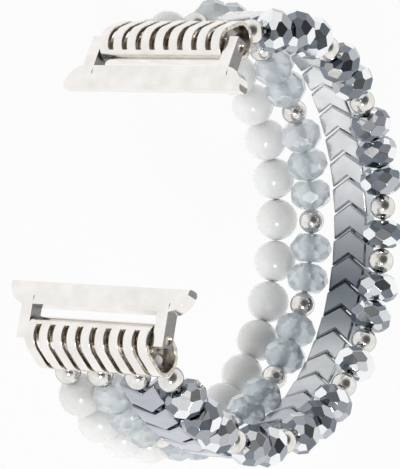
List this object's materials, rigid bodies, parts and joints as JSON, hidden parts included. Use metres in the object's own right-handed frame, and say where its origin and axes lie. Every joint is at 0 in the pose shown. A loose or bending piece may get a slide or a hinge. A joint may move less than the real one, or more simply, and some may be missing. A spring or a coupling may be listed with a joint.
{
  "type": "stretch bead watch band",
  "caption": "Stretch bead watch band: elastic strands of round, faceted and chevron beads between hinged, ribbed tube fittings that slide into a watch case.",
  "frame": {"origin": "centre of the space that the watch case fills, halfway between the two slide bars at mid-thickness", "axes": "+X along the tubes and slide bars, towards the crown side; +Y towards the upper fitting; +Z out of the watch's face, away from the wrist"},
  "size_m": [0.0302, 0.0671, 0.0557],
  "materials": {
    "nickel": "polished nickel plate",
    "steel": "bright",
    "silver_balls": "polished",
    "milky_stone": "milky, polished",
    "aqua_crystal": "faceted, pearly",
    "hematite": "polished grey stone",
    "mirror_crystal": "faceted, silver coated",
    "cord": "elastic cord"
  },
  "bodies": {
    "upper_adapter": {"upper_slide_bar": "nickel", "upper_hinge_pin": "steel", "upper_latch_plate": "nickel", "upper_latch_spring": "steel"},
    "upper_latch": {"upper_latch_button": "nickel"},
    "upper_tube": {"upper_ribbed_tube": "nickel", "upper_hinge_barrel": "steel", "upper_end_balls": "silver_balls", "upper_cord_knots": "cord"},
    "section_1": {"pearl_beads_1": "milky_stone", "aqua_rondelles_1": "aqua_crystal", "aqua_spacers_1": "silver_balls", "chevron_beads_1": "hematite", "mirror_rondelles_1": "mirror_crystal", "mirror_spacers_1": "silver_balls", "cords_1": "cord"},
    "section_2": {"pearl_beads_2": "milky_stone", "aqua_rondelles_2": "aqua_crystal", "aqua_spacers_2": "silver_balls", "chevron_beads_2": "hematite", "mirror_rondelles_2": "mirror_crystal", "mirror_spacers_2": "silver_balls", "cords_2": "cord"},
    "section_3": {"pearl_beads_3": "milky_stone", "aqua_rondelles_3": "aqua_crystal", "aqua_spacers_3": "silver_balls", "chevron_beads_3": "hematite", "mirror_rondelles_3": "mirror_crystal", "mirror_spacers_3": "silver_balls", "cords_3": "cord"},
    "section_4": {"pearl_beads_4": "milky_stone", "aqua_rondelles_4": "aqua_crystal", "aqua_spacers_4": "silver_balls", "chevron_beads_4": "hematite", "mirror_rondelles_4": "mirror_crystal", "mirror_spacers_4": "silver_balls", "cords_4": "cord"},
    "section_5": {"pearl_beads_5": "milky_stone", "aqua_rondelles_5": "aqua_crystal", "aqua_spacers_5": "silver_balls", "chevron_beads_5": "hematite", "mirror_rondelles_5": "mirror_crystal", "mirror_spacers_5": "silver_balls", "cords_5": "cord"},
    "lower_tube": {"lower_ribbed_tube": "nickel", "lower_hinge_barrel": "steel", "lower_end_balls": "silver_balls", "lower_cord_knots": "cord"},
    "lower_adapter": {"lower_slide_bar": "nickel", "lower_hinge_pin": "steel", "lower_latch_plate": "nickel", "lower_latch_spring": "steel"},
    "lower_latch": {"lower_latch_button": "nickel"}
  },
  "joints": [
    {"name": "upper_latch_press", "type": "slide", "parent": "upper_adapter", "child": "upper_latch", "axis": [0, 0, 1], "range_m": [0, 0.00045], "stiffness_N_per_m": 800, "springref_m": -0.0005, "deforming": ["upper_latch_spring"]},
    {"name": "upper_hinge", "type": "hinge", "parent": "upper_adapter", "child": "upper_tube", "pos_m": [0, 0.02119, -0.00068], "axis": [1, 0, 0], "range_deg": [-42, 52]},
    {"name": "flex_1", "type": "hinge", "parent": "upper_tube", "child": "section_1", "pos_m": [0, 0.02959, -0.00712], "axis": [1, 0, 0], "range_deg": [0, 41]},
    {"name": "flex_2", "type": "hinge", "parent": "section_1", "child": "section_2", "pos_m": [0, 0.03077, -0.03403], "axis": [1, 0, 0], "range_deg": [0, 41]},
    {"name": "flex_3", "type": "hinge", "parent": "section_2", "child": "section_3", "pos_m": [0, 0.01113, -0.05246], "axis": [1, 0, 0], "range_deg": [0, 41]},
    {"name": "flex_4", "type": "hinge", "parent": "section_3", "child": "section_4", "pos_m": [0, -0.0157, -0.05025], "axis": [1, 0, 0], "range_deg": [0, 41]},
    {"name": "flex_5", "type": "hinge", "parent": "section_4", "child": "section_5", "pos_m": [0, -0.02937, -0.03494], "axis": [1, 0, 0], "range_deg": [0, 41]},
    {"name": "flex_6", "type": "hinge", "parent": "section_5", "child": "lower_tube", "pos_m": [0, -0.02795, -0.00802], "axis": [1, 0, 0], "range_deg": [0, 41]},
    {"name": "lower_hinge", "type": "hinge", "parent": "lower_tube", "child": "lower_adapter", "pos_m": [0, -0.02119, -0.00068], "axis": [1, 0, 0], "range_deg": [-29, 66]},
    {"name": "lower_latch_press", "type": "slide", "parent": "lower_adapter", "child": "lower_latch", "axis": [0, 0, 1], "range_m": [0, 0.00045], "stiffness_N_per_m": 800, "springref_m": -0.0005, "deforming": ["lower_latch_spring"]}
  ]
}
